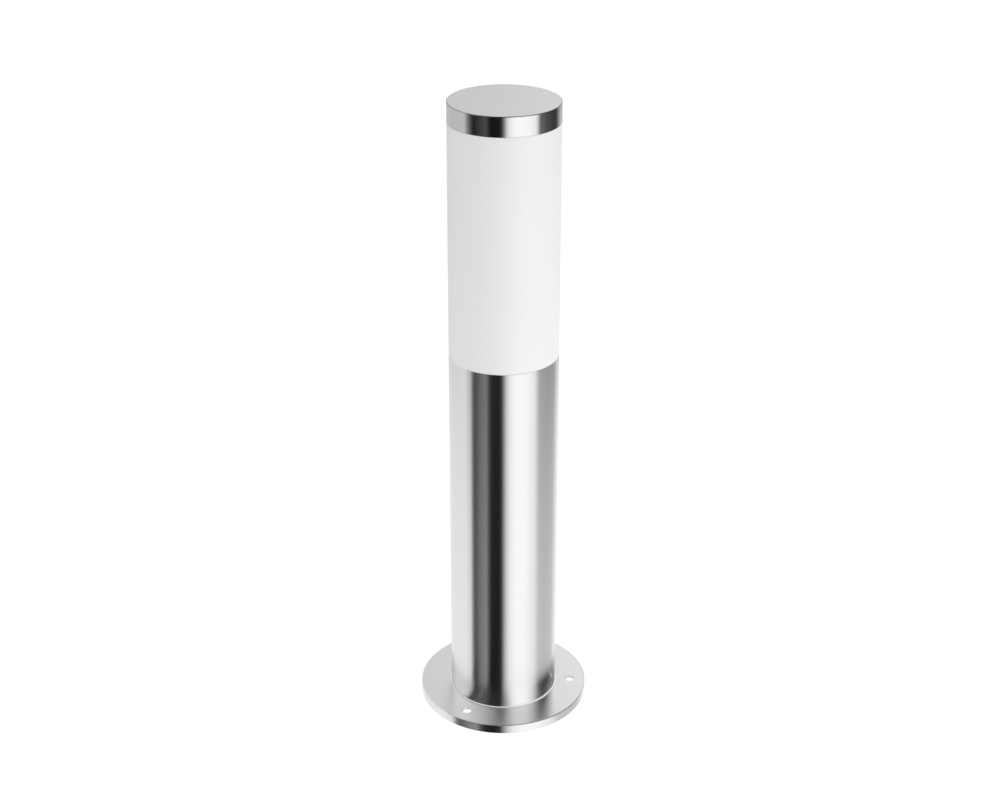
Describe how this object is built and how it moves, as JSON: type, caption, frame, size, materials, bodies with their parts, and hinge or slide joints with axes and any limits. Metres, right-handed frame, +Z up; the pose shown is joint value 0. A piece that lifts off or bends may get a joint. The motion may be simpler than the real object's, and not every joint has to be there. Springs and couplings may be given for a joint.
{
  "type": "bollard light",
  "caption": "Low garden path light: brushed steel tube on a round drilled foot, opal cylinder and flat cap; the head and the lamp unscrew.",
  "frame": {"origin": "centre of the foot's underside, on the tube's axis", "axes": "+Z up along the tube; +X through one of the fixing holes in the foot"},
  "size_m": [0.12, 0.12, 0.45],
  "materials": {
    "brushed_stainless": "fine circumferential brushing",
    "pressed_stainless": "satin, fine grain",
    "mill_stainless": "mill finish",
    "weld_metal": "as welded",
    "opal_plastic": "satin, light-diffusing",
    "lamp_dome": "satin, light-diffusing",
    "lamp_body": "smooth moulded",
    "socket_plastic": "fine moulded grain",
    "holder_plastic": "smooth thermoset",
    "holder_ceramic": "thin glaze",
    "plug_plastic": "moulded grain",
    "clamp_plastic": "moulded",
    "block_plastic": "moulded",
    "seal_rubber": "silicone, smooth",
    "grommet_rubber": "matt",
    "brass": "turned",
    "nickel": "dull nickel plate",
    "lamp_cap_metal": "rolled",
    "zinc_steel": "zinc plate",
    "solder": "solder",
    "insulator_glass": "glassy black",
    "driver_board": "solder mask",
    "led_board_metal": "white solder mask",
    "led_phosphor": "phosphor",
    "wire_live": "wire insulation",
    "wire_neutral": "wire insulation",
    "wire_earth": "wire insulation",
    "sleeve": "woven glass sleeve"
  },
  "bodies": {
    "post": {"base_flange": "pressed_stainless", "post_tube": "brushed_stainless", "weld_bead": "weld_metal", "bottom_plug": "plug_plastic", "cable_grommet": "grommet_rubber", "wiring_bracket": "mill_stainless", "cord_clamp": "clamp_plastic", "cord_clamp_screws": "zinc_steel", "terminal_block": "block_plastic", "terminal_clamps": "brass", "terminal_screws": "zinc_steel", "block_screws": "zinc_steel", "earth_lug": "nickel", "earth_washer": "zinc_steel", "earth_screw": "brass", "earth_wire": "wire_earth", "live_wire": "wire_live", "neutral_wire": "wire_neutral", "wire_sleeve": "sleeve", "lamp_bridge": "mill_stainless", "head_socket": "socket_plastic", "socket_screws": "zinc_steel", "nipple": "zinc_steel", "nipple_washer": "zinc_steel", "nipple_nut": "zinc_steel", "holder_dome": "holder_plastic", "holder_insert": "holder_ceramic", "holder_shell": "holder_plastic", "screw_shell": "nickel", "centre_contact": "nickel", "side_contact": "nickel", "contact_screws": "brass"},
    "head_rise": {"neck_o_ring": "seal_rubber"},
    "head": {"diffuser": "opal_plastic", "cap_gasket": "seal_rubber", "top_cap": "brushed_stainless", "cap_stud": "mill_stainless", "cap_washer": "zinc_steel", "cap_nut": "zinc_steel"},
    "lamp_rise": {"lamp_contact_pip": "solder", "lamp_insulator": "insulator_glass"},
    "lamp": {"lamp_screw_cap": "lamp_cap_metal", "lamp_housing": "lamp_body", "lamp_driver": "driver_board", "led_board": "led_board_metal", "led_chips": "led_phosphor", "lamp_bulb": "lamp_dome"}
  },
  "joints": [
    {"name": "head_lift", "type": "slide", "parent": "post", "child": "head_rise", "axis": [0, 0, 1], "range_m": [0, 0.15]},
    {"name": "head_turn", "type": "hinge", "parent": "head_rise", "child": "head", "pos_m": [0, 0, 0.27], "axis": [0, 0, 1], "range_deg": [0, 1800]},
    {"name": "lamp_lift", "type": "slide", "parent": "post", "child": "lamp_rise", "axis": [0, 0, 1], "range_m": [0, 0.01815]},
    {"name": "lamp_turn", "type": "hinge", "parent": "lamp_rise", "child": "lamp", "pos_m": [0, 0, 0.28], "axis": [0, 0, 1], "range_deg": [0, 1800]}
  ],
  "couplings": [
    {"joint": "head_turn", "follows": "head_lift", "rad_per_m": 209.44},
    {"joint": "lamp_turn", "follows": "lamp_lift", "rad_per_m": 1731.4}
  ]
}
